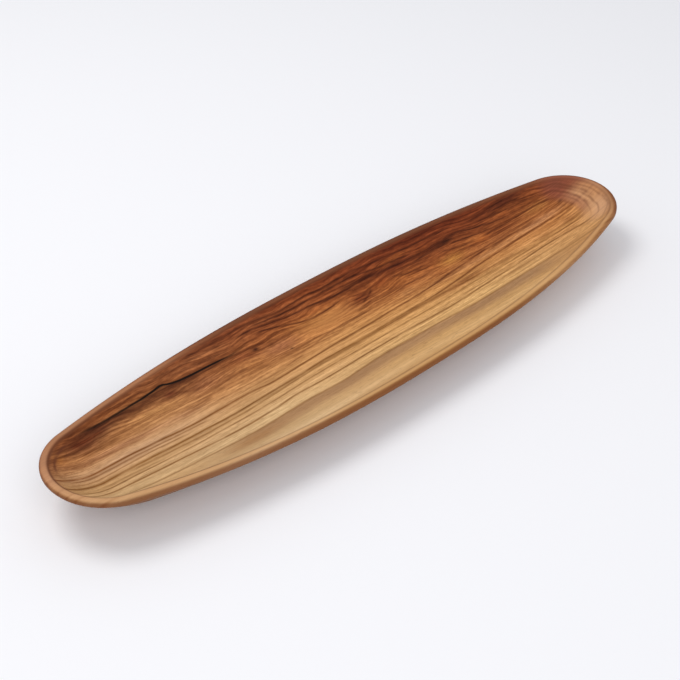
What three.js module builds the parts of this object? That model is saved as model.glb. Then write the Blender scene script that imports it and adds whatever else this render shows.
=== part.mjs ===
// Long serving boat carved from one block of hardwood: a dished trough inside, a rim that sweeps up
// towards two blunt ends, and a rounded hull that tucks under to a flat foot.
// Millimetres, +Z up, origin at the centre of the foot, +X along the boat and +Y across it.
import * as THREE from "three";
import { mergeVertices } from "three/addons/utils/BufferGeometryUtils.js";

// Plan outline: a round end of this radius at each tip, and sides that run tangent into both ends
// along a power curve, nearly straight at midships and rounder towards the shoulders.
const LENGTH = 508;
const WIDTH = 128;
const END_RADIUS = 40;
const SIDE_POWER = 2.46;

// Rim: height of its top above the table at midships, and how much higher it stands at the tips.
const RIM_HEIGHT = 30;
const SHEER = 8.5;
const SHEER_POWER = 3;
const RIM_WIDTH = 5.5;
const EDGE_HEIGHT = 4;
const LIP_RADIUS = 2.4;
const ARRIS_RADIUS = 0.7;

// Trough: wood left under its lowest line, the rise of that line at the tips, and how full its wall is.
const FLOOR_THICKNESS = 14;
const FLOOR_RISE = 8;
const WALL_POWER = 2.2;

// Hull: the flat foot that it stands on, and how full the underside is between foot and lip.
const FOOT_LENGTH = 380;
const FOOT_WIDTH = 50;
const HULL_POWER = 1.6;

// Finish: golden sapwood and red-brown heartwood under oil, as one average colour.
const OILED_WOOD = { color: 0xb07a42, roughness: 0.5, metalness: 0 };

// Facets: steps along each quarter of the outline, and across each stretch of the section.
const END_STEPS = 10;
const SIDE_STEPS = 14;
const HULL_STEPS = 7;
const ROUND_STEPS = 3;
const WALL_STEPS = 9;

const HALF_LENGTH = LENGTH / 2;
const HALF_WIDTH = WIDTH / 2;
const END_CENTRE = HALF_LENGTH - END_RADIUS;
const TANGENT_ANGLE = tangentAngle();
const SIDE_REACH = END_CENTRE + END_RADIUS * Math.cos(TANGENT_ANGLE);
const SIDE_DROP = HALF_WIDTH - END_RADIUS * Math.sin(TANGENT_ANGLE);

// The angle round an end arc at which the side curve takes over with the same slope, by bisection.
function tangentAngle() {
  let low = 0;
  let high = Math.PI / 2;
  for (let i = 0; i < 60; i++) {
    const angle = (low + high) / 2;
    const along = END_CENTRE + END_RADIUS * Math.cos(angle);
    const drop = HALF_WIDTH - END_RADIUS * Math.sin(angle);
    if (along * Math.cos(angle) > SIDE_POWER * drop * Math.sin(angle)) low = angle;
    else high = angle;
  }
  return low;
}

// How far a line of the boat has swept up at x, from 0 at midships to 1 at the tips.
const sweep = (x) => (Math.abs(x) / HALF_LENGTH) ** SHEER_POWER;
const rimTop = (x) => RIM_HEIGHT + SHEER * sweep(x);
const troughBottom = (x) => FLOOR_THICKNESS + FLOOR_RISE * sweep(x);

// A station is a place on the outline: its outer point, the way in square to the edge, and how far
// that way runs to the boat's centre line.
function endStation(angle) {
  const outward = new THREE.Vector2(Math.cos(angle), Math.sin(angle));
  const outer = new THREE.Vector2(END_CENTRE, 0).addScaledVector(outward, END_RADIUS);
  return { outer, inward: outward.negate(), reach: END_RADIUS };
}

function sideStation(x) {
  const share = x / SIDE_REACH;
  const slope = ((SIDE_POWER * SIDE_DROP) / SIDE_REACH) * share ** (SIDE_POWER - 1);
  const outer = new THREE.Vector2(x, HALF_WIDTH - SIDE_DROP * share ** SIDE_POWER);
  const inward = new THREE.Vector2(-slope, -1).normalize();
  return { outer, inward, reach: -outer.y / inward.y };
}

function mirrored(place, mirrorX, mirrorY) {
  const flip = new THREE.Vector2(mirrorX, mirrorY);
  return {
    outer: place.outer.clone().multiply(flip),
    inward: place.inward.clone().multiply(flip),
    reach: place.reach,
  };
}

// The stations in order round the boat, quarter by quarter, with each shared point taken once.
function stations() {
  const quarter = [];
  for (let i = 0; i < END_STEPS; i++) quarter.push(endStation((TANGENT_ANGLE * i) / END_STEPS));
  for (let i = 0; i <= SIDE_STEPS; i++) quarter.push(sideStation(SIDE_REACH * (1 - i / SIDE_STEPS)));
  const tipFirst = quarter.slice(0, -1);
  const sideFirst = quarter.slice(1).reverse();
  return [
    ...tipFirst.map((place) => mirrored(place, 1, 1)),
    ...sideFirst.map((place) => mirrored(place, -1, 1)),
    ...tipFirst.map((place) => mirrored(place, -1, -1)),
    ...sideFirst.map((place) => mirrored(place, 1, -1)),
  ];
}

// A point of the section at a station: so far in from the outer edge, at this height.
const inset = (place, distance, height) => {
  const flat = place.outer.clone().addScaledVector(place.inward, distance);
  return new THREE.Vector3(flat.x, flat.y, height(flat.x));
};

// Underside: from the centre of the foot to its edge, then up the hull to the foot of the lip.
function hull(place) {
  const spine = inset(place, place.reach, () => 0);
  const foot = new THREE.Vector3(
    (place.outer.x * FOOT_LENGTH) / LENGTH,
    (place.outer.y * FOOT_WIDTH) / WIDTH,
    0,
  );
  spine.x *= FOOT_LENGTH / LENGTH;
  const lip = inset(place, 0, (x) => rimTop(x) - EDGE_HEIGHT);
  const points = [spine];
  for (let i = 0; i <= HULL_STEPS; i++) {
    const share = i / HULL_STEPS;
    const point = foot.clone().lerp(lip, share);
    point.z = lip.z * share ** HULL_POWER;
    points.push(point);
  }
  return points;
}

// Rim: the rounded outer lip, the land along its top, and the softened corner into the trough.
function rim(place) {
  const points = [];
  for (let i = 0; i <= ROUND_STEPS; i++) {
    const turn = ((Math.PI / 2) * i) / ROUND_STEPS;
    const distance = LIP_RADIUS * (1 - Math.cos(turn));
    points.push(inset(place, distance, (x) => rimTop(x) - LIP_RADIUS * (1 - Math.sin(turn))));
  }
  points.push(inset(place, RIM_WIDTH - ARRIS_RADIUS, rimTop));
  return points;
}

// Trough: from the inner corner of the rim down a wall that flattens towards the centre line.
function trough(place) {
  const bottom = inset(place, place.reach, troughBottom);
  const top = inset(place, RIM_WIDTH, (x) => rimTop(x) - ARRIS_RADIUS);
  const points = [];
  for (let i = 0; i <= WALL_STEPS; i++) {
    const share = i / WALL_STEPS;
    const point = top.clone().lerp(bottom, share);
    point.z = bottom.z + (top.z - bottom.z) * (1 - share) ** WALL_POWER;
    points.push(point);
  }
  return points;
}

// The closed skin: the sections of neighbouring stations joined by two triangles a step. The spine
// points of both sides coincide, so welding closes it and its collapsed triangles are left out.
function skin() {
  const sections = stations().map((place) => [...hull(place), ...rim(place), ...trough(place)]);
  const rows = sections[0].length;
  const index = [];
  sections.forEach((_, column) => {
    const here = column * rows;
    const next = ((column + 1) % sections.length) * rows;
    for (let row = 0; row + 1 < rows; row++) {
      index.push(here + row, next + row, next + row + 1);
      index.push(here + row, next + row + 1, here + row + 1);
    }
  });
  const loose = new THREE.BufferGeometry().setFromPoints(sections.flat());
  const welded = mergeVertices(loose.setIndex(index), 1e-3);
  const corners = Array.from(welded.index.array);
  const kept = [];
  for (let i = 0; i < corners.length; i += 3) {
    const [a, b, c] = corners.slice(i, i + 3);
    if (a !== b && b !== c && c !== a) kept.push(a, b, c);
  }
  welded.setIndex(kept);
  welded.computeVertexNormals();
  return welded;
}

const boat = new THREE.Mesh(skin(), new THREE.MeshStandardMaterial(OILED_WOOD));
boat.name = "boat_body";

const servingBoat = new THREE.Group();
servingBoat.add(boat);

export default servingBoat;
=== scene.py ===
import math

import bmesh
import bpy
from mathutils import Color, Matrix, Vector


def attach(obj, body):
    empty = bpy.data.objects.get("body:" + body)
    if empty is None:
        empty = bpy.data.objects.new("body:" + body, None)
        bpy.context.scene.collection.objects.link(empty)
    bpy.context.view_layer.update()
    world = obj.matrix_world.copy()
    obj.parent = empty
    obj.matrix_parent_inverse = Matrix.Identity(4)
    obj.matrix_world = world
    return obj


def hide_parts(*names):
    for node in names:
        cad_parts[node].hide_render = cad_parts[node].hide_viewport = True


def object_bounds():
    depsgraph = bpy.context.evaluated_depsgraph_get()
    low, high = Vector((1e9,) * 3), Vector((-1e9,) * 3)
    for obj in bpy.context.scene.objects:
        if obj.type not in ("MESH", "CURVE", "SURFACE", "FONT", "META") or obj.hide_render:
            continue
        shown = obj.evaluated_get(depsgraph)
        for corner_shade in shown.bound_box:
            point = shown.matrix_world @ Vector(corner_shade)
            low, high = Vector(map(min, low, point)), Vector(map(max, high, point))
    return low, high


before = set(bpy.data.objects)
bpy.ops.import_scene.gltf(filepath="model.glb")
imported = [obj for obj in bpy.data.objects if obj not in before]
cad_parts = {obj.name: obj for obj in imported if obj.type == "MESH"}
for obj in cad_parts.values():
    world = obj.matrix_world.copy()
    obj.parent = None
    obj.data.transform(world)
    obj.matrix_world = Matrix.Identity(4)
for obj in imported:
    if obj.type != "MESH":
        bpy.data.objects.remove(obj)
cad_low, cad_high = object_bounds()

# The boat: a long shallow serving boat, carved and sanded from one block of figured hardwood, then oiled.
# Its skin is one loop, the plan outline, extruded step by step from the foot up the hull, over the rim and
# down into the trough. A drying crack along the grain is let into the far wall near one end.
half_length, half_width = cad_high[0], cad_high[1]
tip_radius = 0.040
side_power = 2.46

# Rim: the height of its top at midships, its lift towards the tips, then its land, outer edge and corners.
rim_height = 0.030
tip_lift = 0.0085
lift_power = 3
rim_width = 0.0055
edge_height = 0.004
edge_turn = 0.0005
lip_round = 0.0024
arris_round = 0.0007
corner_soft = 0.0008

# Trough: the wood left under its lowest line, that line's lift towards the tips, and how full its wall is.
trough_floor = 0.014
trough_lift = 0.008
wall_power = 2.2

# Hull: the flat foot that it stands on, and how full it is between the foot and the edge.
foot_length, foot_width = 0.380, 0.050
hull_power = 1.6

# Plan outline: a round tip at each end, and sides that leave it on the same slope. The turn at which they
# do is found by halving. A share of the outline's places stands round the tips.
tip_centre = half_length - tip_radius
halvings = 60
low, high = 0.0, math.pi / 2
for _ in range(halvings):
    tip_turn = (low + high) / 2
    side_reach = tip_centre + tip_radius * math.cos(tip_turn)
    side_drop = half_width - tip_radius * math.sin(tip_turn)
    if side_reach * math.cos(tip_turn) > side_power * side_drop * math.sin(tip_turn):
        low = tip_turn
    else:
        high = tip_turn
tip_share = 0.34


def rim_top(x):
    return rim_height + tip_lift * (abs(x) / half_length) ** lift_power


def trough_bottom(x):
    return trough_floor + trough_lift * (abs(x) / half_length) ** lift_power


def outline_place(turn):
    """Outer point, way in and distance to the centre line, at a turn round the boat from its +X tip."""
    share = math.atan2(abs(math.sin(turn)), abs(math.cos(turn))) / (math.pi / 2)
    flip = Vector((math.copysign(1, math.cos(turn)), math.copysign(1, math.sin(turn))))
    if share < tip_share:
        angle = tip_turn * share / tip_share
        outward = Vector((math.cos(angle), math.sin(angle)))
        outer = Vector((tip_centre, 0)) + outward * tip_radius
        reach = tip_radius
    else:
        along = (1 - share) / (1 - tip_share)
        slope = side_power * side_drop / side_reach * along ** (side_power - 1)
        outward = Vector((slope, 1)).normalized()
        outer = Vector((side_reach * along, half_width - side_drop * along**side_power))
        reach = outer.y / outward.y
    return outer * flip, -outward * flip, reach


# The crack, as stretches of the far side: x of the outer edge, and how far in from that edge it lies.
# Away from it the wall's rows keep the same distance, its home.
crack_home = 0.0120
crack_path = (
    (-0.2400, crack_home),
    (-0.2160, 0.0083),
    (-0.2030, 0.0103),
    (-0.1930, 0.0113),
    (-0.1830, 0.0120),
    (-0.1730, 0.0126),
    (-0.1630, 0.0132),
    (-0.1530, 0.0132),
    (-0.1460, 0.0128),
    (-0.1410, 0.0150),
    (-0.1330, 0.0168),
    (-0.1230, 0.0180),
    (-0.1130, 0.0188),
    (-0.1020, 0.0197),
    (-0.0900, 0.0210),
    (-0.0820, 0.0207),
    (-0.0740, 0.0200),
    (-0.0300, crack_home),
)

# Along the crack: its ends, and how it opens from them. Across it: its depth and gape, the rows beside it,
# and how dark the wood is painted above it, at its lips and below it, as painted shade in the crack and a
# painted shadow below it.
crack_start, crack_end = -0.216, -0.073
first_opening, opening_gain = 0.62, 0.8
start_slope, end_slope = 10, 5
crack_depth = 0.0026
least_gape, added_gape = 0.00010, 0.00030
above_crack, below_crack = 0.0009, 0.0010
above_dark, lip_dark, below_dark = 0.08, 0.9, 0.30
dark_reach = 0.0030


def follow(points, x, beyond=0.0):
    """The value of a listed line at this x, and another value beyond its ends."""
    for (x0, value0), (x1, value1) in zip(points, points[1:]):
        if x0 <= x <= x1:
            share = (x - x0) / (x1 - x0)
            return value0 + (value1 - value0) * share
    return beyond


def crack_opening(x):
    """How open the crack is at this x, from 0 past its ends to 1: a hair line at the tip, wider inboard."""
    if not crack_start < x < crack_end:
        return 0.0
    share = (x - crack_start) / (crack_end - crack_start)
    return min(1.0, first_opening + opening_gain * share, start_slope * share, end_slope * (1 - share))


# The painted shade of the outer edge, a darker red where it turns away from the lamps: how many of the lip's
# steps it climbs, along the boat, and how sharply it ends. At one end it also spreads over the land, most on
# the near side of the tip.
outer_shade_climb = (
    (-0.255, 2.3), (-0.180, 3.3), (-0.100, 4.6), (0.000, 4.0), (0.180, 3.4), (0.235, 5.4), (0.255, 5.4),
)
outer_shade_sharpness = 2.2
most_shaded = math.radians(-32)
shade_spread = math.radians(36)


def outer_shade_on_land(outer):
    """How far the painted shade of the outer edge has spread over the land at this place, from 0 to 1."""
    if outer.x < tip_centre:
        return 0.0
    turn = math.atan2(outer.y, outer.x - tip_centre)
    return math.exp(-((turn - most_shaded) / shade_spread) ** 2)


# Rows of the section: shares of the way up the hull, then steps over the lip, the land, and the wall above
# and below the crack. Those below grow wider towards the centre line. The rim's marks have soft ends.
hull_shares = (0, 0.06, 0.14, 0.24, 0.34, 0.44, 0.54, 0.64, 0.74, 0.83, 0.91, 0.965, 0.99)
lip_steps, land_steps, upper_wall_steps, lower_wall_steps = 5, 6, 10, 30
lower_wall_growth = 0.45
land_blur = 0.0003
corner_shift, corner_blur = 0.0001, 0.0009


def boat_section(place):
    """Points of the section at one place, from the keel line of the foot to the centre line of the trough.
    Each has its marks: the painted shade in and below the crack, the land along the rim's top, and the
    painted shade of the boat's outside and of its inner corner."""
    outer, inward, reach = place

    def inset(distance, height, crack_shade=0.0, land=0.0, outer_shade=0.0, corner_shade=0.0):
        flat = outer + inward * distance
        return Vector((flat.x, flat.y, height(flat.x))), (crack_shade, land, outer_shade, corner_shade)

    keel = outer + inward * reach
    # The hull's rows carry the full painted shade of the outer surface.
    below = (0.0, 0.0, 1.0, 0.0)
    foot_share_long, foot_share_wide = foot_length / 2 / half_length, foot_width / 2 / half_width
    points = [(Vector((keel.x * foot_share_long, 0, 0)), below)]
    foot = Vector((outer.x * foot_share_long, outer.y * foot_share_wide, 0))
    lip = Vector((outer.x, outer.y, rim_top(outer.x) - edge_height))
    for share in hull_shares:
        point = foot.lerp(lip, share)
        point.z = lip.z * share**hull_power
        points.append((point, below))
    points.append(inset(0, lambda x: rim_top(x) - edge_height + edge_turn, outer_shade=1.0))
    # How far up the lip the painted shade of the outer edge climbs here.
    climb = follow(outer_shade_climb, outer.x)
    for step in range(lip_steps + 1):
        turn = math.pi / 2 * step / lip_steps
        shaded = max(1 / (1 + math.exp((step - climb) * outer_shade_sharpness)), outer_shade_on_land(outer))
        points.append(inset(
            lip_round * (1 - math.cos(turn)),
            lambda x: rim_top(x) - lip_round * (1 - math.sin(turn)),
            land=1 - shaded,
            outer_shade=shaded,
        ))
    arris = inset(rim_width, lambda x: rim_top(x) - arris_round)[0]
    bottom = inset(reach, trough_bottom)[0]

    def top(distance, sink=0.0, crack_shade=0.0):
        """The land and the wall of the trough, run into each other by a soft corner."""
        share = (distance - rim_width) / (reach - rim_width)
        wall = bottom.z + (arris.z - bottom.z) * max(0.0, 1 - share) ** wall_power
        over_land = (distance - lip_round) / (rim_width - lip_round)
        soft = corner_soft * min(1.0, max(0.0, over_land))

        def height(x):
            over = rim_top(x) - wall
            return wall + 0.5 * (over - math.hypot(over, soft)) - sink

        land = 1 / (1 + math.exp((distance - rim_width) / land_blur))
        shaded = outer_shade_on_land(outer) * max(0.0, 1 - over_land)
        # Mark for the painted shade in the inner corner.
        corner_shade = math.exp(-((distance - rim_width + corner_shift) / corner_blur) ** 2)
        return inset(distance, height, crack_shade=crack_shade, land=land, outer_shade=shaded, corner_shade=corner_shade)

    for step in range(1, land_steps):
        points.append(top(lip_round + (rim_width - lip_round) * step / land_steps))

    on_far_side = outer.y > 0
    line = follow(crack_path, outer.x, crack_home) if on_far_side else crack_home
    opening = crack_opening(outer.x) if on_far_side else 0.0
    gape = least_gape + added_gape * opening
    for step in range(upper_wall_steps):
        points.append(top(rim_width + (line - above_crack - rim_width) * step / upper_wall_steps))
    # The crack's rows carry its painted shade: faint above it, dark at its lips, black at its bottom.
    points.append(top(line - above_crack, crack_shade=above_dark * opening))
    points.append(top(line - gape, crack_shade=lip_dark * opening))
    points.append(top(line, sink=crack_depth * opening, crack_shade=opening))
    points.append(top(line + gape, crack_shade=lip_dark * opening))
    # Below the crack, a painted shadow fades out down the wall.
    for step in range(lower_wall_steps + 1):
        share = step / lower_wall_steps
        share = (1 - lower_wall_growth) * share + lower_wall_growth * share**2
        beyond = (reach - line - below_crack) * share
        dark = below_dark * opening * math.exp(-beyond / dark_reach)
        points.append(top(line + below_crack + beyond, crack_shade=dark))
    return points


places = 480
boat_mesh = bmesh.new()
place_index = boat_mesh.verts.layers.int.new("place")
mark_layers = [boat_mesh.verts.layers.float.new(name) for name in ("crack_shade", "land", "outer_shade", "corner_shade")]
bmesh.ops.create_circle(boat_mesh, segments=places, radius=1)
sections = []
for vert in boat_mesh.verts:
    vert[place_index] = len(sections)
    sections.append(boat_section(outline_place(math.atan2(vert.co.y, vert.co.x))))


def settle(vert, row):
    """Moves a point of the loop to its row of the section, and marks it."""
    vert.co, marks = sections[vert[place_index]][row]
    for layer, mark in zip(mark_layers, marks):
        vert[layer] = mark


loop = list(boat_mesh.edges)
for vert in boat_mesh.verts:
    settle(vert, 0)
for row in range(1, len(sections[0])):
    grown = bmesh.ops.extrude_edge_only(boat_mesh, edges=loop)["geom"]
    loop = [part for part in grown if isinstance(part, bmesh.types.BMEdge) and part.is_boundary]
    for vert in (part for part in grown if isinstance(part, bmesh.types.BMVert)):
        settle(vert, row)
bmesh.ops.remove_doubles(boat_mesh, verts=boat_mesh.verts, dist=1e-6)
bmesh.ops.recalc_face_normals(boat_mesh, faces=boat_mesh.faces)
for face in boat_mesh.faces:
    face.smooth = True

boat_data = bpy.data.meshes.new("boat")
boat_mesh.to_mesh(boat_data)
boat_mesh.free()
boat = bpy.data.objects.new("boat", boat_data)
bpy.context.collection.objects.link(boat)

# The wood is a solid pattern, in millimetres. Its growth layers are arcs round a line beside the near edge,
# so the carving cuts straight lines in the floor, a broad band in the near wall and hooks at the ends.
wood = bpy.data.materials.new("oiled_hardwood")
wood.use_nodes = True
wood_nodes = wood.node_tree.nodes
wood_links = wood.node_tree.links
wood_nodes.clear()


def feed(value, socket):
    """A socket takes another node's output, or a plain value."""
    if isinstance(value, bpy.types.NodeSocket):
        wood_links.new(value, socket)
    else:
        socket.default_value = value


def work_out(operation, *values):
    step = wood_nodes.new("ShaderNodeMath")
    step.operation = operation
    for value, socket in zip(values, step.inputs):
        feed(value, socket)
    return step.outputs[0]


def plus(first, second):
    return work_out("ADD", first, second)


def minus(first, second):
    return work_out("SUBTRACT", first, second)


def times(first, second):
    return work_out("MULTIPLY", first, second)


def times_plus(first, second, third):
    return work_out("MULTIPLY_ADD", first, second, third)


def span_of(first, second):
    """Length of the slope over two sides that stand square to each other."""
    return work_out("SQRT", times_plus(first, first, times(second, second)))


def between(value, start, end, low=0.0, high=1.0, smooth=True):
    """Runs from low to high while the value runs from start to end, and stays there beyond."""
    step = wood_nodes.new("ShaderNodeMapRange")
    step.interpolation_type = "SMOOTHSTEP" if smooth else "LINEAR"
    for content, socket in zip((value, start, end, low, high), step.inputs):
        feed(content, socket)
    return step.outputs[0]


def blend(share, first, second, mode="MIX"):
    step = wood_nodes.new("ShaderNodeMix")
    step.data_type = "RGBA"
    step.blend_type = mode
    feed(share, step.inputs["Factor"])
    for content, socket in ((first, step.inputs[6]), (second, step.inputs[7])):
        feed((*content, 1) if isinstance(content, tuple) else content, socket)
    return step.outputs[2]


def seen(red, green, blue):
    """A tone of the finished wood, in steps of 255, as a material colour."""
    return tuple(Color((red / 255, green / 255, blue / 255)).from_srgb_to_scene_linear())


mm_in_metre = 1000.0
figure_shift = 0.7
spot = wood_nodes.new("ShaderNodeTexCoord")
in_mm = wood_nodes.new("ShaderNodeVectorMath")
in_mm.operation = "SCALE"
in_mm.inputs["Scale"].default_value = mm_in_metre
wood_links.new(spot.outputs["Object"], in_mm.inputs[0])
split = wood_nodes.new("ShaderNodeSeparateXYZ")
wood_links.new(in_mm.outputs[0], split.inputs[0])
x = plus(split.outputs[0], figure_shift)
y, z = split.outputs[1:]


def grain_noise(per_x, across, per_across, around, per_around, detail, roughness=0.5):
    """Noise drawn out along the boat: steps per mm along it, across the layers and along a layer."""
    place = wood_nodes.new("ShaderNodeCombineXYZ")
    for value, rate, socket in zip((x, across, around), (per_x, per_across, per_around), place.inputs):
        feed(times(value, rate), socket)
    step = wood_nodes.new("ShaderNodeTexNoise")
    step.inputs["Scale"].default_value = 1.0
    step.inputs["Detail"].default_value = detail
    step.inputs["Roughness"].default_value = roughness
    wood_links.new(place.outputs[0], step.inputs["Vector"])
    return step.outputs["Fac"]


def unevenness(per_x, per_across, detail):
    """Noise to either side of nought."""
    return minus(grain_noise(per_x, y, per_across, z, per_across, detail), 0.5)


# Unevenness of the wood, from broad to fine. It comes before the figure, which wanders with it.
wander = unevenness(1 / 60, 1 / 30, 2.0)
bend = unevenness(1 / 46, 1 / 22, 1.0)
mottle = unevenness(1 / 45, 1 / 14, 3.0)
curl = unevenness(1 / 22, 1 / 12, 2.0)
break_up = grain_noise(1 / 26, y, 1 / 9, z, 1 / 9, 2.0)
pore = grain_noise(0.16, y, 1.5, z, 1.5, 1.0)

# Depth through the growth layers, from the sapwood of the near wall, about -47, to the heartwood of the far
# rim, about 60. From here on depth and x both wander, and the heartwood's layers curl.
layer_y, layer_z, layer_radius = -92.0, -2.0, 92.7
depth_wander, heart_curl = 2.0, 2.5
out_y = minus(y, layer_y)
out_z = minus(z, layer_z)
true_depth = minus(span_of(out_y, out_z), layer_radius)
in_heart = between(true_depth, 14.0, 34.0)
depth = times_plus(wander, depth_wander, true_depth)
depth = times_plus(times(curl, in_heart), heart_curl, depth)
x = plus(x, wander)

# Listed lines lie between these ends and depths, and fade out where they stop short of the boat's end.
figure_end, boat_end = 260.0, 250.0
deepest, shallowest = 70.0, -60.0
longest_fade = 12.0
hook_run = 300.0


def along_boat(points):
    """A value that follows listed points along the boat, each an x and a value."""
    step = wood_nodes.new("ShaderNodeFloatCurve")
    step.mapping.extend = "HORIZONTAL"
    curve = step.mapping.curves[0].points
    spots = []
    for place, value in points:
        share = (value - shallowest) / (deepest - shallowest)
        spots.append(((place + figure_end) / (2 * figure_end), share))
    curve[0].location, curve[1].location = spots[0], spots[-1]
    for middle in spots[1:-1]:
        curve.new(*middle)
    step.mapping.update()
    feed(between(x, -figure_end, figure_end, smooth=False), step.inputs["Value"])
    return times_plus(step.outputs[0], deepest - shallowest, shallowest)


def bell(distance, width):
    """1 at no distance, falling away over a width."""
    share = times(distance, 1 / width)
    return work_out("EXPONENT", times(times(share, share), -1.0))


def grain_line(points, width):
    """How strongly a listed line of the figure marks a spot. The line fades at its ends, unless they
    run out of the boat."""
    share = bell(minus(depth, along_boat(points)), width)
    first, last = points[0][0], points[-1][0]
    fade = min(longest_fade, (last - first) / 4)
    if first > -boat_end:
        share = times(share, between(x, first, first + fade))
    if last < boat_end:
        share = times(share, between(x, last, last - fade))
    return share


def patch(at_x, at_depth, long, wide):
    """A soft patch of the figure, by its middle and its half-lengths along and across the layers."""
    return times(bell(minus(x, at_x), long), bell(minus(depth, at_depth), wide))


def hook(at_x, at_depth, long, wide):
    """How far out a spot lies in a nest of hooked lines, 1 on the hook of this half-length and half-width.
    The hooks open towards midships."""
    beyond = between(x, at_x, at_x + math.copysign(hook_run, at_x), 0.0, hook_run / long, smooth=False)
    aside = times(minus(true_depth, at_depth), 1 / wide)
    return span_of(beyond, aside)


def tone_ramp(value, stops):
    """Colours along a value, as (place, colour) pairs."""
    start, end = stops[0][0], stops[-1][0]
    step = wood_nodes.new("ShaderNodeValToRGB")
    points = step.color_ramp.elements
    while len(points) < len(stops):
        points.new(0.5)
    for point, (place, colour) in zip(points, stops):
        point.position = (place - start) / (end - start)
        point.color = (*colour, 1)
    wood_links.new(between(value, start, end, smooth=False), step.inputs["Fac"])
    return step.outputs["Color"]


# Plain tones by age: cream sapwood, honey, then red-brown heartwood, which reaches further in towards both
# ends. Both change in warmth along the boat.
heart_reach = along_boat((
    (-254, 14), (-230, 6), (-195, 0), (-150, -4), (-110, 3), (-60, 3), (0, 0), (60, 8), (110, 13), (155, 14),
    (200, 12), (254, 14),
))
age_mottle = 12.0
age = times_plus(heart_reach, between(depth, -15.0, 20.0), depth)
age = times_plus(times(mottle, in_heart), age_mottle, age)
timber = tone_ramp(age, (
    (-49, seen(196, 150, 96)), (-43, seen(230, 188, 136)), (-38, seen(211, 168, 116)),
    (-30, seen(207, 162, 110)), (-20, seen(223, 180, 126)), (-10, seen(221, 173, 119)),
    (-4, seen(216, 166, 110)), (5, seen(214, 161, 106)), (12, seen(209, 153, 97)), (19, seen(198, 140, 87)),
    (26, seen(184, 122, 71)), (34, seen(173, 108, 60)), (40, seen(156, 90, 46)), (48, seen(147, 81, 42)),
    (57, seen(136, 69, 35)), (68, seen(114, 51, 25)), (80, seen(104, 45, 23)),
))
sap_warmth = tone_ramp(x, (
    (-254, (0.90, 0.97, 1.06)), (-150, (0.93, 0.99, 1.12)), (-95, (0.99, 1.06, 1.16)),
    (-45, (0.98, 0.98, 0.98)), (5, (0.97, 0.94, 0.86)), (105, (0.98, 0.94, 0.83)), (155, (0.99, 0.91, 0.81)),
    (205, (0.98, 0.86, 0.75)), (254, (1.00, 0.93, 0.86)),
))
timber = blend(between(age, 40.0, 15.0), timber, blend(1.0, timber, sap_warmth, "MULTIPLY"))
heart_warmth = tone_ramp(x, (
    (-254, (0.92, 1.03, 1.22)), (-150, (0.93, 1.06, 1.28)), (-90, (0.96, 1.10, 1.32)),
    (-40, (1.00, 1.06, 1.15)), (20, (0.95, 0.95, 1.00)), (254, (0.95, 0.95, 1.02)),
))
timber = blend(between(age, 18.0, 36.0), timber, blend(1.0, timber, heart_warmth, "MULTIPLY"))

# The outermost sapwood of the near wall: a smooth brown-grey band below a crisp edge.
near_edge = (
    (-254, -22), (-170, -23.5), (-120, -25), (-80, -23.2), (-45, -24), (0, -21.8), (45, -22.6), (80, -24.5),
    (120, -25), (165, -26), (200, -27.5), (254, -29),
)
band_strength = 0.95
above_edge = minus(depth, along_boat(near_edge))
band = times(between(above_edge, 0.3, -0.6), between(above_edge, -14.0, -5.0))
band = times(band, times(between(x, -160.0, -118.0), between(x, 190.0, 130.0)))
timber = blend(times(band, band_strength), timber, seen(174, 132, 92))

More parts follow.
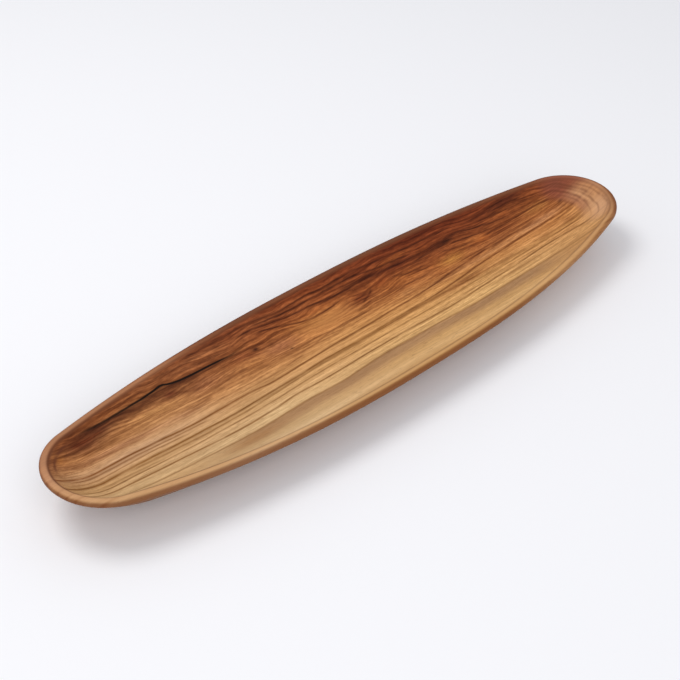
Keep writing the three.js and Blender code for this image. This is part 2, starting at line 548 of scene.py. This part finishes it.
# Patches of the figure: x, depth, half-length, half-width, strength and tone.
gold, mauve, russet, umber = seen(189, 127, 71), seen(150, 94, 64), seen(120, 57, 28), seen(98, 38, 15)
for at_x, at_depth, long, wide, strength, tone in (
    (-13, 33, 27, 8, 0.95, gold),
    (-52, 30, 15, 6, 0.8, mauve),
    (-80, 37, 9, 4, 0.7, seen(135, 74, 44)),
    (-78, 27, 12, 5, 0.6, seen(176, 117, 68)),
    (-10, 42.5, 22, 2.6, 0.55, seen(130, 66, 30)),
    (27, 34, 11, 6, 0.85, russet),
    (50, 37, 8, 3, 0.5, seen(165, 85, 42)),
    (60, 29, 22, 6, 0.5, seen(172, 102, 50)),
    (98, 22, 8, 8, 0.6, seen(148, 84, 42)),
    (113, 24, 12, 4.5, 0.75, seen(178, 122, 60)),
    (148, 26.5, 6, 3.0, 0.7, seen(176, 102, 50)),
    (210, 24, 14, 3.8, 0.8, seen(178, 120, 66)),
    (172, 24, 16, 3.0, 0.5, russet),
    (112, 41.5, 22, 2.6, 0.40, umber),
    (46, 46.5, 12, 2.6, 0.50, umber),
    (190, 42, 22, 3.6, 0.9, seen(82, 36, 21)),
    (70, 42, 16, 3.2, 0.6, seen(96, 37, 15)),
    (70, 48.5, 20, 2.5, 0.65, seen(152, 86, 42)),
    (12, 54, 16, 2.2, 0.6, seen(160, 92, 52)),
    (100, 42, 10, 2.6, 0.5, seen(148, 76, 30)),
    (140, 30, 9, 2.6, 0.55, seen(176, 108, 56)),
    (-140, 18, 14, 3, 0.5, seen(140, 88, 58)),
    (180, 36, 10, 2.8, 0.75, seen(160, 90, 46)),
    (60, 18, 10, 3, 0.5, seen(200, 142, 90)),
    (163, 18.4, 13, 1.8, 0.6, seen(184, 118, 72)),
    (203, 13, 22, 3, 0.55, seen(196, 144, 106)),
    (231, 29, 9, 7, 0.8, seen(138, 76, 58)),
    (-186, -27, 20, 7, 0.6, seen(222, 178, 126)),
    (-130, -31, 20, 4, 0.5, seen(168, 118, 70)),
    (102, 0.5, 28, 3.2, 0.75, seen(166, 104, 60)),
    (110, -6.5, 18, 2.6, 0.7, seen(226, 174, 114)),
    (145, 12.3, 55, 2.0, 0.45, seen(212, 156, 108)),
    (-140, 0, 16, 3, 0.6, seen(224, 182, 136)),
    (220, -1, 9, 3, 0.6, seen(150, 92, 52)),
    (35, 1, 60, 2.2, 0.45, seen(164, 108, 56)),
    (-157, 30, 20, 3.2, 0.85, seen(186, 134, 84)),
    (-213, 30.5, 17, 6, 0.85, seen(92, 41, 26)),
    (-198, 34.5, 9, 3.0, 0.85, seen(78, 40, 32)),
    (-243, 26, 8, 6, 0.8, seen(104, 54, 30)),
    (-142, 36.5, 7, 3, 0.8, seen(104, 46, 28)),
    (-150, 48.5, 50, 3.2, 0.45, seen(158, 102, 66)),
    (-112, 49.5, 30, 5, 0.7, seen(170, 108, 68)),
    (-118, 32, 14, 6, 0.6, mauve),
    (-192, 10, 58, 6.5, 0.85, seen(211, 169, 132)),
    (-112, -3, 46, 5.5, 0.5, seen(217, 172, 122)),
    (-50, 54, 22, 3, 0.7, seen(166, 100, 60)),
    (-234, 25.5, 5, 3.2, 0.7, seen(176, 114, 60)),
    (-190, 19, 40, 2.5, 0.5, seen(172, 118, 88)),
):
    timber = blend(times(patch(at_x, at_depth, long, wide), strength), timber, tone)

# A painted shadow darkens the wood in a band below the crack.
crack_shadow_width, crack_shadow_strength = 3.0, 0.85
crack_shadow = grain_line((
    (-228, 32.5), (-200, 35.5), (-180, 37.5), (-160, 39.2), (-143, 41), (-126, 40.2), (-112, 40),
), crack_shadow_width)
timber = blend(times(crack_shadow, crack_shadow_strength), timber, seen(102, 54, 29))

# Growth lines of the figure: strength, width, and the places each line passes, as x and depth. They are
# broken up, down to a share of their strength.
weakest_share = 0.65
line_tone = tone_ramp(age, (
    (-30, seen(148, 104, 58)), (0, seen(132, 86, 38)), (20, seen(126, 72, 34)), (34, seen(90, 38, 15)),
    (50, seen(62, 22, 10)),
))
for strength, width, points in (
    (0.70, 0.9, near_edge),
    (0.95, 0.9, ((-254, -11), (-215, -12), (-180, -13), (-150, -14.5), (-118, -15.6), (-95, -14.8),
                 (-75, -13.3), (-55, -14), (0, -13), (30, -13), (60, -13.8), (75, -14), (110, -13),
                 (150, -12), (180, -10.8), (200, -12), (220, -14), (254, -16))),
    (0.75, 0.7, ((-254, -6), (-200, -7), (-150, -8), (-120, -8.4), (-90, -8), (-60, -6.5), (0, -6), (60, -6),
                 (100, -5), (150, -6), (200, -6), (254, -8))),
    (1.00, 1.0, ((-254, 0), (-200, 0.4), (-150, 0), (-120, -0.8), (-90, 0), (-60, 0.6), (-40, 1.6), (0, 1.8),
                 (40, 2.4), (80, 3.6), (100, 5.5), (120, 7.3), (150, 8.6), (200, 9.5), (230, 8.5),
                 (254, 7))),
    (0.70, 0.9, ((-205, -1.5), (-160, -3), (-140, -4), (-110, -4), (-88, -3), (-60, -1.2), (-20, 0),
                 (0, 0.4), (40, 0.8), (85, 0.6), (120, -1))),
    (0.55, 2.0, ((95, 0.5), (125, -1), (150, -2.4), (175, -3), (200, -3), (254, -2))),
    (1.00, 0.9, ((-254, 10), (-225, 10), (-180, 10), (-140, 8.5), (-100, 9), (-80, 7.2), (-55, 8),
                 (-20, 9.5), (0, 10), (40, 10.7), (80, 12.3), (100, 14.5), (125, 16), (150, 17.2))),
    (0.65, 0.7, ((-245, 7.4), (-180, 7.3), (-150, 6.3), (-130, 5.5))),
    (0.65, 0.7, ((-248, 4), (-215, 4.2), (-170, 4.6), (-150, 3.6))),
    (0.60, 0.7, ((-64, 13.3), (-54, 14.2), (-42, 15.2))),
    (0.60, 0.8, ((-62, 17.2), (-30, 18.6), (-15, 21), (0, 22), (15, 21.4), (30, 21.8))),
    (0.60, 0.8, ((-222, 23.6), (-205, 24.6), (-188, 24.4))),
    (0.45, 0.8, ((-236, 18), (-200, 17.5), (-172, 17))),
    (0.85, 0.9, ((-66, 48.4), (-58, 47.5), (-45, 44.5), (-32, 41), (-20, 38.7), (-8, 38.3), (2, 39.3),
                 (16, 40.5))),
    (0.85, 0.9, ((-80, 51), (-60, 51), (-45, 49.5), (-30, 48), (-12, 47.3), (0, 46), (15, 45), (34, 44))),
    (0.80, 0.9, ((-64, 54), (-40, 52.5), (-20, 51.5), (0, 52.5), (20, 52.3), (40, 51), (60, 48), (92, 45))),
    (0.70, 0.8, ((-100, 55), (-60, 56), (-30, 55), (0, 55.5), (40, 55), (70, 52), (110, 49), (134, 47))),
    (0.60, 1.6, ((12, 47.5), (35, 46.5), (55, 44.5), (75, 43), (95, 42), (115, 41), (128, 40))),
    (0.80, 1.0, ((82, 38), (105, 38.6), (126, 38))),
    (0.70, 1.1, ((118, 42), (135, 41), (145, 38.5), (155, 36), (165, 33.5), (180, 31), (200, 30),
                 (222, 27))),
    (0.80, 0.8, ((116, 37), (135, 34.5), (150, 31.5), (166, 28.8))),
    (0.75, 1.0, ((146, 28.5), (170, 27), (190, 27), (210, 26), (222, 24), (236, 18))),
    (0.55, 1.0, ((150, 41), (170, 38), (190, 35), (208, 33), (222, 30), (234, 25), (242, 18))),
    (0.75, 1.0, ((14, 25), (24, 26.5), (34, 27.6))),
    (0.75, 1.0, ((24, 29), (32, 32), (40, 36.4))),
    (0.80, 1.2, ((-226, 30.5), (-210, 31.5), (-192, 32.8))),
    (0.60, 0.9, ((-190, 31.5), (-172, 33), (-160, 33.6), (-150, 33.6), (-136, 32))),
    (0.45, 1.1, ((-190, 34.6), (-165, 36.2), (-146, 37.4))),
    (0.55, 1.1, ((-144, 37.5), (-134, 34), (-125, 31.5), (-108, 31))),
    (0.45, 0.9, ((-152, 21.8), (-135, 21.5), (-114, 21))),
    (0.55, 0.8, ((-155, 49.3), (-130, 50.5), (-110, 51), (-80, 51.5))),
    (0.60, 0.9, ((-125, 53), (-100, 55), (-80, 55.6))),
    (0.45, 0.8, ((-140, 47.2), (-115, 46.5), (-84, 46.6))),
    (0.40, 0.8, ((-196, 42.6), (-175, 44.6), (-150, 46.4))),
    (0.45, 1.4, ((54, 38), (64, 35.6), (80, 31), (96, 28))),
    (0.45, 0.8, ((38, 25), (60, 25.5), (75, 24), (94, 22.6))),
    (0.70, 1.2, ((140, 15.4), (165, 16), (180, 15.6), (202, 16))),
    (0.60, 0.6, ((208, 6.3), (220, 6), (236, 5.6))),
    (0.50, 0.6, ((212, 3.4), (230, 2.6), (238, 2))),
    (0.50, 0.6, ((216, 1.2), (231, 0), (238, -0.6))),
    (0.60, 1.0, ((106, 34.4), (113, 33.5), (122, 31.5), (132, 29.5), (146, 28.8))),
    (0.60, 0.9, ((140, 44.6), (165, 42.5), (180, 40.5), (208, 37))),
    (0.50, 0.9, ((150, 47), (180, 43.6), (212, 39))),
    (0.50, 0.8, ((162, 38), (190, 36.5), (212, 34.6))),
    (0.60, 0.9, ((18, 34), (29, 34.8), (39, 38))),
    (0.45, 0.7, ((86, -3.8), (110, -4.4), (136, -3.8))),
    (0.35, 0.6, ((84, -9.6), (110, -10), (152, -9.2))),
    (0.50, 0.8, ((92, 2.2), (120, 3.6), (140, 4.2))),
    (0.40, 0.7, ((120, -17), (160, -16.4), (206, -17.6))),
    (0.22, 2.4, ((-254, 9), (-180, 8.4), (-120, 8), (-60, 8.4))),
    (0.22, 2.4, ((-254, 1), (-180, 0), (-120, -2.4), (-60, -0.4))),
    (0.18, 2.2, ((-232, -11.4), (-150, -14.2), (-100, -15.2), (-60, -13.6))),
    (0.40, 0.7, ((-122, 5.4), (-104, 5.8), (-82, 6.6))),
    (0.40, 0.7, ((-118, 2.6), (-100, 3.4), (-76, 4.2))),
    (0.45, 0.8, ((-148, 17.8), (-132, 18.6), (-116, 20.2))),
    (0.35, 0.7, ((-142, 19.6), (-130, 20.4), (-114, 22.4))),
    (0.40, 0.8, ((-228, -3), (-200, -4.6), (-174, -5.4))),
    (0.35, 0.7, ((-110, 14.4), (-90, 15.6), (-70, 16.4))),
    (0.35, 0.7, ((-106, 11.6), (-88, 12.4), (-66, 12.2))),
):
    share = grain_line(points, width)
    share = times(share, between(break_up, 0.30, 0.50, weakest_share * strength, strength))
    timber = blend(share, timber, line_tone)

# Knots: small dark eyes, each in a broken, uneven ring. Each has its x, depth, half-length, half-width and
# strength; the ring's place and width are shares of the eye's.
eye_size, ring_place, ring_width, ring_curl = 0.9, 2.2, 0.9, 3.0
for at_x, at_depth, long, wide, strength in (
    (-69, 37.5, 3.4, 1.9, 1.0),
    (-47, 24.5, 2.0, 1.1, 0.7),
    (122, 39.5, 6.0, 2.2, 0.8),
    (229, 17.5, 3.0, 2.0, 0.7),
):
    along = times(minus(x, at_x), 1 / long)
    aside = times(minus(depth, at_depth), 1 / wide)
    out = span_of(along, aside)
    uneven_out = times_plus(curl, ring_curl, out)
    ring = times(bell(minus(uneven_out, ring_place), ring_width), between(break_up, 0.38, 0.60, 0.0, 0.35))
    timber = blend(times(ring, strength), timber, seen(104, 50, 28))
    timber = blend(times(bell(out, eye_size), strength), timber, seen(60, 25, 13))

# Finer figure: streaks in each layer, hair lines between them, flecks and pores. The golden flame, the near
# band and the plain sapwood of the left half are calmer.
heart_bend = 9.0
bow = along_boat((
    (-254, 11), (-226, 6.5), (-190, 3.5), (-150, 1), (-110, 0), (90, 0), (125, 2), (160, 7), (200, 12),
    (226, 16), (254, 24),
))
wavy = times_plus(bend, heart_bend, bow)
wavy = times_plus(wavy, in_heart, depth)
streak = grain_noise(1 / 70, wavy, 0.42, z, 1 / 25, 4.0, 0.62)
hair = grain_noise(1 / 26, wavy, 0.85, z, 1 / 12, 3.0, 0.6)
fleck = grain_noise(1 / 5, wavy, 0.9, z, 1 / 3, 2.0)
flame_calm = -0.8
lively = times_plus(patch(-8, 31, 24, 6.5), flame_calm, between(depth, -27.0, -21.0, 0.45, 1.0))
heartness = between(age, 8.0, 42.0)
plain_sap = times(between(x, -30.0, 90.0, 0.40, 0.0), between(age, 24.0, 8.0))
lively = times(lively, minus(1.0, plain_sap))
for figure, sap_dark, sap_light, heart_dark, heart_light in (
    (streak, (0.78, 0.73, 0.67), (1.11, 1.12, 1.13), (0.64, 0.55, 0.48), (1.22, 1.24, 1.22)),
    (hair, (0.78, 0.73, 0.68), (1.11, 1.12, 1.13), (0.66, 0.58, 0.52), (1.20, 1.22, 1.20)),
    (fleck, (0.88, 0.86, 0.83), (1.08, 1.09, 1.09), (0.82, 0.78, 0.74), (1.14, 1.14, 1.13)),
):
    lightness = between(figure, 0.38, 0.62, smooth=False)
    sap_tone = blend(lightness, sap_dark, sap_light)
    heart_tone = blend(lightness, heart_dark, heart_light)
    timber = blend(lively, timber, blend(heartness, sap_tone, heart_tone), "MULTIPLY")
pore_start, pore_full, pore_strength = 0.60, 0.72, 0.28
timber = blend(times(between(pore, pore_start, pore_full), pore_strength), timber, seen(92, 50, 26))

# Where the end walls cut across the layers, these turn and run round the end in thin, uneven hooks. The
# right end is paler on its near side and redder on its far side, the left end a little browner.
nest_x, nest_depth, nest_long, nest_wide = 214.0, 8.0, 34.0, 31.0
nest_wander = 0.22
right_strength, left_strength = 0.75, 0.25
uneven = times(wander, nest_wander)
right_end = plus(hook(nest_x, nest_depth, nest_long, nest_wide), uneven)
left_end = plus(hook(-nest_x, nest_depth, nest_long, nest_wide), uneven)
right_wall = tone_ramp(right_end, (
    (0.40, seen(150, 92, 60)), (0.60, seen(164, 108, 78)), (0.72, seen(172, 120, 90)),
    (0.82, seen(206, 156, 114)), (1.10, seen(196, 138, 94)),
))
right_near_wall = tone_ramp(right_end, (
    (0.40, seen(204, 148, 98)), (0.70, seen(212, 160, 114)), (0.85, seen(222, 172, 132)),
    (0.97, seen(212, 162, 124)), (1.05, seen(168, 116, 84)), (1.10, seen(178, 126, 90)),
))
right_wall = blend(between(depth, 2.0, -12.0), right_wall, right_near_wall)
right_wall = blend(between(depth, 12.0, 24.0), right_wall, seen(140, 76, 58))
at_right = times(between(right_end, 0.46, 0.66), between(x, nest_x, 236.0))
timber = blend(times(at_right, right_strength), timber, right_wall)
at_left = times(between(left_end, 0.80, 0.98), between(x, -224.0, -242.0))
timber = blend(times(at_left, left_strength), timber, seen(162, 104, 68))

# Each hook has its end, the stretch of x over which it sets in, its share of the way out to the rim, its
# width as such a share, its strength and its lowest depth.
depth_fade = 8.0
for nest, start, end, out, width, strength, lowest in (
    (right_end, 220.0, 234.0, 0.91, 0.035, 0.60, -2.0),
    (right_end, 222.0, 236.0, 0.84, 0.018, 0.40, -8.0),
    (right_end, 220.0, 234.0, 0.76, 0.024, 0.55, -4.0),
    (right_end, 222.0, 236.0, 0.67, 0.018, 0.40, 0.0),
    (right_end, 222.0, 238.0, 0.56, 0.030, 0.50, 2.0),
    (right_end, 218.0, 232.0, 0.45, 0.026, 0.35, 10.0),
    (right_end, 216.0, 236.0, 0.98, 0.018, 0.42, -60.0),
    (right_end, 218.0, 238.0, 0.86, 0.016, 0.42, -60.0),
    (right_end, 220.0, 240.0, 0.74, 0.014, 0.32, -60.0),
    (left_end, -216.0, -230.0, 0.87, 0.030, 0.80, 14.0),
    (left_end, -216.0, -230.0, 0.74, 0.020, 0.35, 20.0),
):
    share = bell(minus(nest, out), width)
    share = times(share, between(x, start, end, 0.0, strength))
    share = times(share, between(break_up, 0.34, 0.52, 0.45, 1.0))
    share = times(share, between(depth, lowest, lowest + depth_fade))
    timber = blend(share, timber, seen(100, 54, 34))


def marked(name):
    """How strongly the skin is marked, by one of the names given to its points."""
    step = wood_nodes.new("ShaderNodeAttribute")
    step.attribute_name = name
    return step.outputs["Fac"]


# Wear, finish and painted light: the top of the rim is plainer, paler and greyer, partly rubbed and partly a
# painted sheen where it faces the sky. Its inner corner holds a dark line of painted shade, the outer edge
# and the hull are a darker red of painted shade, and the crack is painted black at its bottom as painted
# shade.
land_strength = 0.68
crack_full = 0.85
rim_age = times(age, between(x, -150.0, -30.0, 0.60, 1.0))
rim_tone = tone_ramp(rim_age, (
    (-50, seen(198, 151, 98)), (-10, seen(196, 146, 103)), (15, seen(196, 144, 108)),
    (30, seen(178, 126, 90)), (44, seen(142, 92, 61)), (62, seen(122, 78, 52)),
))
far_right = times(between(x, 216.0, 236.0, 0.0, 0.85), between(depth, 8.0, 20.0))
rim_tone = blend(far_right, rim_tone, seen(150, 90, 70))
# The land's plainer, greyer tone: partly wear, partly a painted sheen where the rim's top faces the sky.
timber = blend(times(marked("land"), land_strength), timber, rim_tone)
# Painted shade: a dark line in the inner corner under the rim, where the steep wall falls into shade,
# strongest towards the left end.
corner_strength = between(x, -120.0, -215.0, 0.40, 0.80)
timber = blend(times(marked("corner_shade"), corner_strength), timber, seen(92, 46, 25))
# Painted shade: the outer edge and the hull are painted a darker red, most on the near side and round the
# right tip, which face away from the lamps.
away_from_lamp = work_out("MAXIMUM", between(y, 25.0, -25.0), between(x, 215.0, 240.0))
outer_shade_share = times(marked("outer_shade"), between(away_from_lamp, 0.0, 1.0, 0.55, 0.85))
kept_dark = work_out("MAXIMUM", between(x, 60.0, 170.0, 1.0, 0.75), between(x, 215.0, 235.0))
timber = blend(times(outer_shade_share, kept_dark), timber, seen(114, 61, 29))
# Painted shade: black at the crack's bottom and dark at its lips, with a painted shadow fading below it.
timber = blend(between(marked("crack_shade"), 0.0, crack_full, smooth=False), timber, seen(30, 15, 9))

# An oiled, sanded surface: satin, with a roughness that follows the streaks, and with the pores just felt.
hair_relief, pore_relief = 0.8, 0.5
relief = wood_nodes.new("ShaderNodeBump")
relief.inputs["Strength"].default_value = 0.25
relief.inputs["Distance"].default_value = 0.00012
surface_height = plus(times(hair, hair_relief), between(pore, pore_start, pore_full, pore_relief, 0.0))
feed(surface_height, relief.inputs["Height"])
finish = wood_nodes.new("ShaderNodeBsdfPrincipled")
feed(timber, finish.inputs["Base Color"])
feed(between(streak, 0.3, 0.7, 0.46, 0.56, smooth=False), finish.inputs["Roughness"])
finish.inputs["Specular IOR Level"].default_value = 0.10
feed(relief.outputs[0], finish.inputs["Normal"])
surface = wood_nodes.new("ShaderNodeOutputMaterial")
wood_links.new(finish.outputs[0], surface.inputs["Surface"])

boat_data.materials.append(wood)
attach(boat, "root")
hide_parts("boat_body")

# The table: a plain pale studio top, painted matt, which takes the shadow. It isn't part of the boat, which
# only stands on it.
table_mesh = bmesh.new()
bmesh.ops.create_grid(table_mesh, x_segments=1, y_segments=1, size=4)
table_data = bpy.data.meshes.new("table")
table_mesh.to_mesh(table_data)
table_mesh.free()
table = bpy.data.objects.new("table", table_data)
bpy.context.collection.objects.link(table)
table_paint = bpy.data.materials.new("pale_table")
table_paint.use_nodes = True
table_finish = table_paint.node_tree.nodes["Principled BSDF"]
table_finish.inputs["Base Color"].default_value = (0.91, 0.91, 0.94, 1)
table_finish.inputs["Roughness"].default_value = 0.9
table_finish.inputs["Specular IOR Level"].default_value = 0.1
table_data.materials.append(table_paint)

# Studio light: a broad soft lamp from behind and left, a wide fill from the near side and an even pale
# surround. Each lamp has its way out from the boat, distance, size, energy and colour.
for name, way, distance, size, energy, colour in (
    ("soft_lamp", (-0.27, 0.41, 1.0), 1.67, 0.9, 9.2, (1.0, 0.985, 0.96)),
    ("fill_lamp", (-0.35, -0.80, 0.60), 3.0, 2.6, 32.0, (1.0, 0.99, 0.98)),
):
    lamp_data = bpy.data.lights.new(name, "AREA")
    lamp_data.shape = "DISK"
    lamp_data.size = size
    lamp_data.energy = energy
    lamp_data.color = colour
    lamp = bpy.data.objects.new(name, lamp_data)
    lamp_way = Vector(way).normalized()
    lamp.location = lamp_way * distance
    lamp.rotation_euler = lamp_way.to_track_quat("Z", "Y").to_euler()
    bpy.context.collection.objects.link(lamp)
surround = bpy.data.worlds.new("pale_surround")
surround.use_nodes = True
surround_light = surround.node_tree.nodes["Background"]
surround_light.inputs["Color"].default_value = (0.96, 0.975, 1.0, 1)
surround_light.inputs["Strength"].default_value = 0.60
bpy.context.scene.world = surround

# Camera: above the near side and to the left, looking along the boat towards its far end. It stands
# back from midships at the height of the rim, and a little aside, to frame the boat as the photo does.
turn, lift = math.radians(-42.75), math.radians(37.65)
stand_back, stand_right, stand_up = 0.8687, -0.01814, -0.01440
back = Vector((math.sin(turn) * math.cos(lift), -math.cos(turn) * math.cos(lift), math.sin(lift)))
right = Vector((math.cos(turn), math.sin(turn), 0))
up = back.cross(right)
camera_data = bpy.data.cameras.new("camera")
camera_data.lens = 66.6
camera_data.sensor_width = 36.0
camera_data.clip_start = 0.01
camera = bpy.data.objects.new("camera", camera_data)
camera.matrix_world = Matrix((
    (right.x, up.x, back.x, 0), (right.y, up.y, back.y, 0), (right.z, up.z, back.z, 0), (0, 0, 0, 1),
))
camera.location = Vector((0, 0, rim_height)) + back * stand_back + right * stand_right + up * stand_up
bpy.context.collection.objects.link(camera)
bpy.context.scene.camera = camera

bpy.context.scene.view_settings.view_transform = "Standard"
